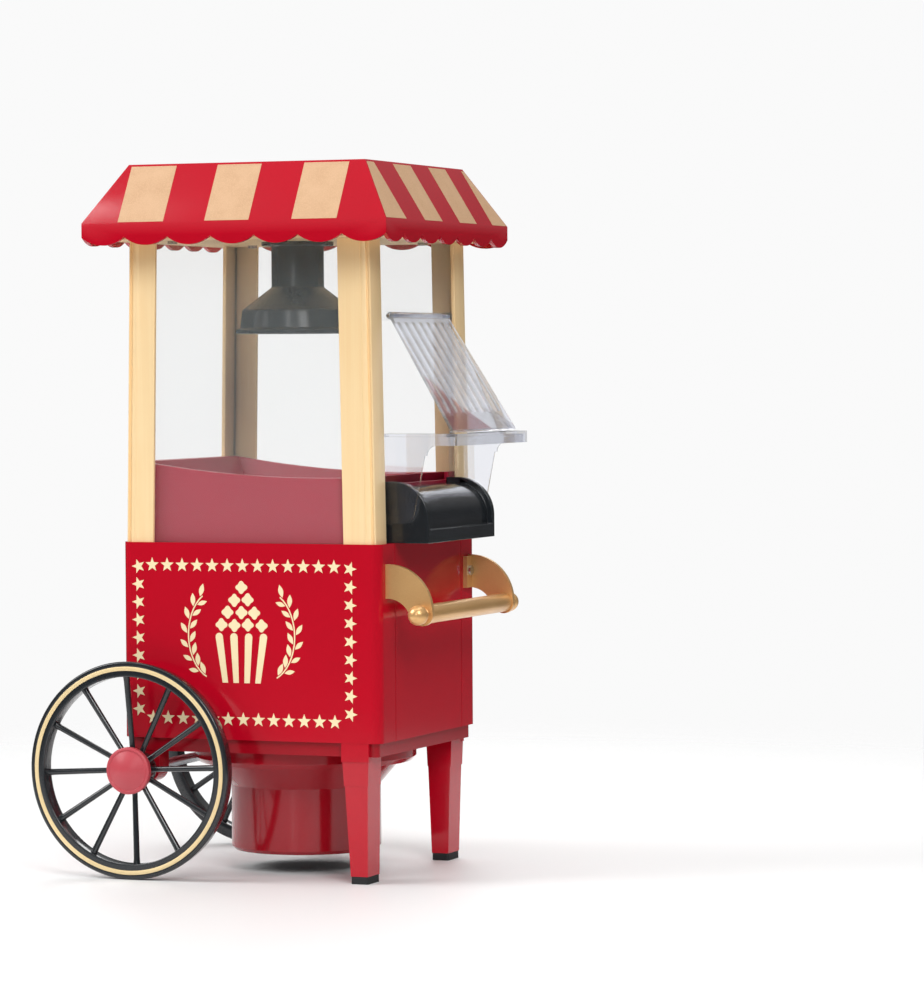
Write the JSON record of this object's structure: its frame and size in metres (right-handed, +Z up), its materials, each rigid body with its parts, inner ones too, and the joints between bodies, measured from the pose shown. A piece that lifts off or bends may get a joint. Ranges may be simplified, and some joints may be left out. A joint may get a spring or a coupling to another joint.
{
  "type": "popcorn maker",
  "caption": "Cart-shaped hot-air popcorn maker: glazed cabinet with posts and scalloped roof, side outlet with hinged vent flap, push handle, spoked wheels and legs.",
  "frame": {"origin": "middle of the whole object's footprint, on the floor", "axes": "+X towards the chute and handle, +Y to the far long side, +Z up"},
  "size_m": [0.264, 0.204, 0.43],
  "materials": {
    "gloss_red_abs": "gloss moulded",
    "dark_red_abs": "gloss moulded",
    "satin_gold_post": "satin gold paint on plastic",
    "satin_gold_handle": "satin gold paint",
    "gloss_black_abs": "gloss moulded",
    "satin_black_pp": "fine moulded texture",
    "clear_styrene": "clear moulded",
    "black_rubber": "moulded",
    "cream_paint": "painted",
    "satin_red_cap": "satin moulded",
    "plated_steel": "zinc plated",
    "spun_aluminium": "spun",
    "galvanised_sheet": "galvanised",
    "mica_board": "laminated mica",
    "resistance_wire": "oxidised",
    "motor_can": "black passivated",
    "fan_nylon": "moulded nylon",
    "circuit_board": "solder mask",
    "wire_sleeve": "silicone sleeve",
    "ceramic_body": "glazed",
    "red_rocker": "gloss moulded"
  },
  "bodies": {
    "cart": {"body_shell": "gloss_red_abs", "base_cover": "dark_red_abs", "base_screws": "plated_steel", "fan_housing": "dark_red_abs", "intake_grille": "satin_black_pp", "leg_near": "gloss_red_abs", "leg_far": "gloss_red_abs", "foot_pads": "black_rubber", "axle": "plated_steel", "axle_bracket_near": "dark_red_abs", "axle_bracket_far": "dark_red_abs", "axle_spacers": "gloss_black_abs", "axle_push_nuts": "plated_steel", "handle_bracket_near": "satin_gold_handle", "handle_bracket_far": "satin_gold_handle", "handle_bar": "satin_gold_handle", "handle_end_caps": "satin_gold_handle", "handle_screws": "plated_steel", "post_near_wheel_end": "satin_gold_post", "post_near_chute_end": "satin_gold_post", "post_far_wheel_end": "satin_gold_post", "post_far_chute_end": "satin_gold_post", "pane_near": "clear_styrene", "pane_far": "clear_styrene", "pane_wheel_end": "clear_styrene", "pane_chute_end": "clear_styrene", "hopper_liner": "gloss_red_abs", "chute": "gloss_black_abs", "outlet_hood": "clear_styrene", "flap_hinge_pins": "plated_steel", "popping_chamber": "spun_aluminium", "air_duct": "galvanised_sheet", "mica_frame": "mica_board", "heating_coil": "resistance_wire", "thermostat": "ceramic_body", "thermal_fuse": "ceramic_body", "motor_plate": "galvanised_sheet", "fan_motor": "motor_can", "rectifier_board": "circuit_board", "internal_wires": "wire_sleeve", "switch_housing": "gloss_black_abs", "cord_gland": "gloss_black_abs"},
    "near_wheel": {"wheel_near": "gloss_black_abs", "wheel_band_near": "cream_paint", "hub_cap_near": "satin_red_cap"},
    "far_wheel": {"wheel_far": "gloss_black_abs", "wheel_band_far": "cream_paint", "hub_cap_far": "satin_red_cap"},
    "vent": {"vent_flap": "clear_styrene"},
    "roof": {"roof_canopy": "gloss_red_abs", "roof_ceiling": "satin_gold_post", "ceiling_screws": "plated_steel", "feed_funnel": "gloss_red_abs", "feed_hood": "satin_black_pp"},
    "cup": {"measuring_cup": "gloss_red_abs"},
    "fan": {"motor_shaft": "plated_steel", "impeller": "fan_nylon"},
    "rocker": {"switch_rocker": "red_rocker"}
  },
  "joints": [
    {"name": "near_wheel_spin", "type": "hinge", "parent": "cart", "child": "near_wheel", "pos_m": [-0.06625, -0.0979, 0.0657], "axis": [0, 1, 0], "continuous": true},
    {"name": "far_wheel_spin", "type": "hinge", "parent": "cart", "child": "far_wheel", "pos_m": [-0.06625, 0.0979, 0.0657], "axis": [0, 1, 0], "continuous": true},
    {"name": "vent_flap_swing", "type": "hinge", "parent": "cart", "child": "vent", "pos_m": [0.08421, 0, 0.338], "axis": [0, -1, 0], "range_deg": [0, 75]},
    {"name": "roof_lift", "type": "slide", "parent": "cart", "child": "roof", "axis": [0, 0, 1], "range_m": [0, 0.12]},
    {"name": "cup_lift", "type": "slide", "parent": "roof", "child": "cup", "axis": [0, 0, 1], "range_m": [0, 0.06]},
    {"name": "fan_spin", "type": "hinge", "parent": "cart", "child": "fan", "pos_m": [0.00745, 0, 0.04], "axis": [0, 0, 1], "continuous": true},
    {"name": "switch_tip", "type": "hinge", "parent": "cart", "child": "rocker", "pos_m": [-0.07725, 0.03, 0.1202], "axis": [0, 1, 0], "range_deg": [0, 18]}
  ]
}
